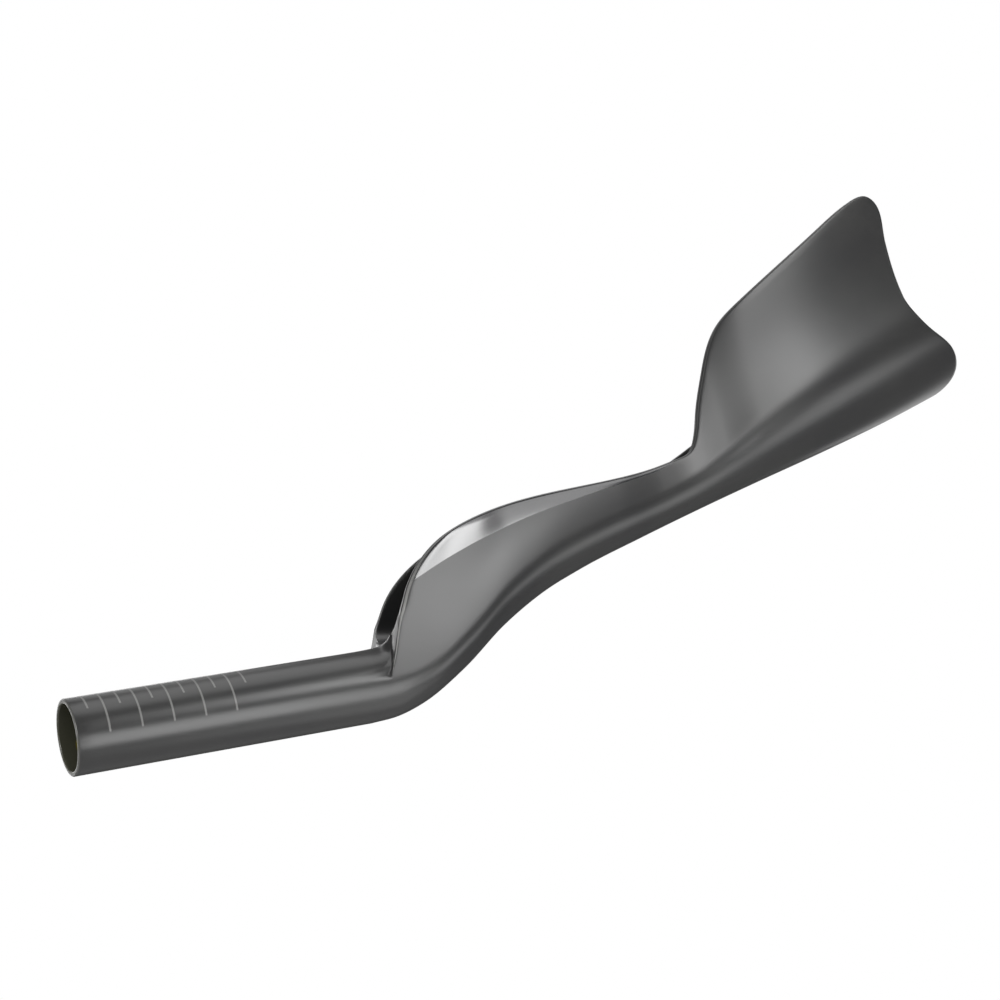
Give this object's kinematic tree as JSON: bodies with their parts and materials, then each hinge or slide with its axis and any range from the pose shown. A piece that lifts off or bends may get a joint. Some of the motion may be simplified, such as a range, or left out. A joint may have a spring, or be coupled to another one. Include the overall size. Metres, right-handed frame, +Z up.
{
  "type": "aero handlebar extension",
  "caption": "Moulded carbon aero handlebar extension: a round clamp tube rises into a channelled neck that opens into a wide scoop with one high side wall.",
  "frame": {"origin": "centre of the clamp tube's open end", "axes": "+X along the tube's axis into the part, towards the scoop; -Y towards the scoop's high side wall; +Z up, the way the channel opens"},
  "size_m": [0.3421, 0.0744, 0.1481],
  "materials": {
    "carbon": "satin"
  },
  "bodies": {
    "root": {"bar_extension": "carbon"}
  },
  "joints": []
}
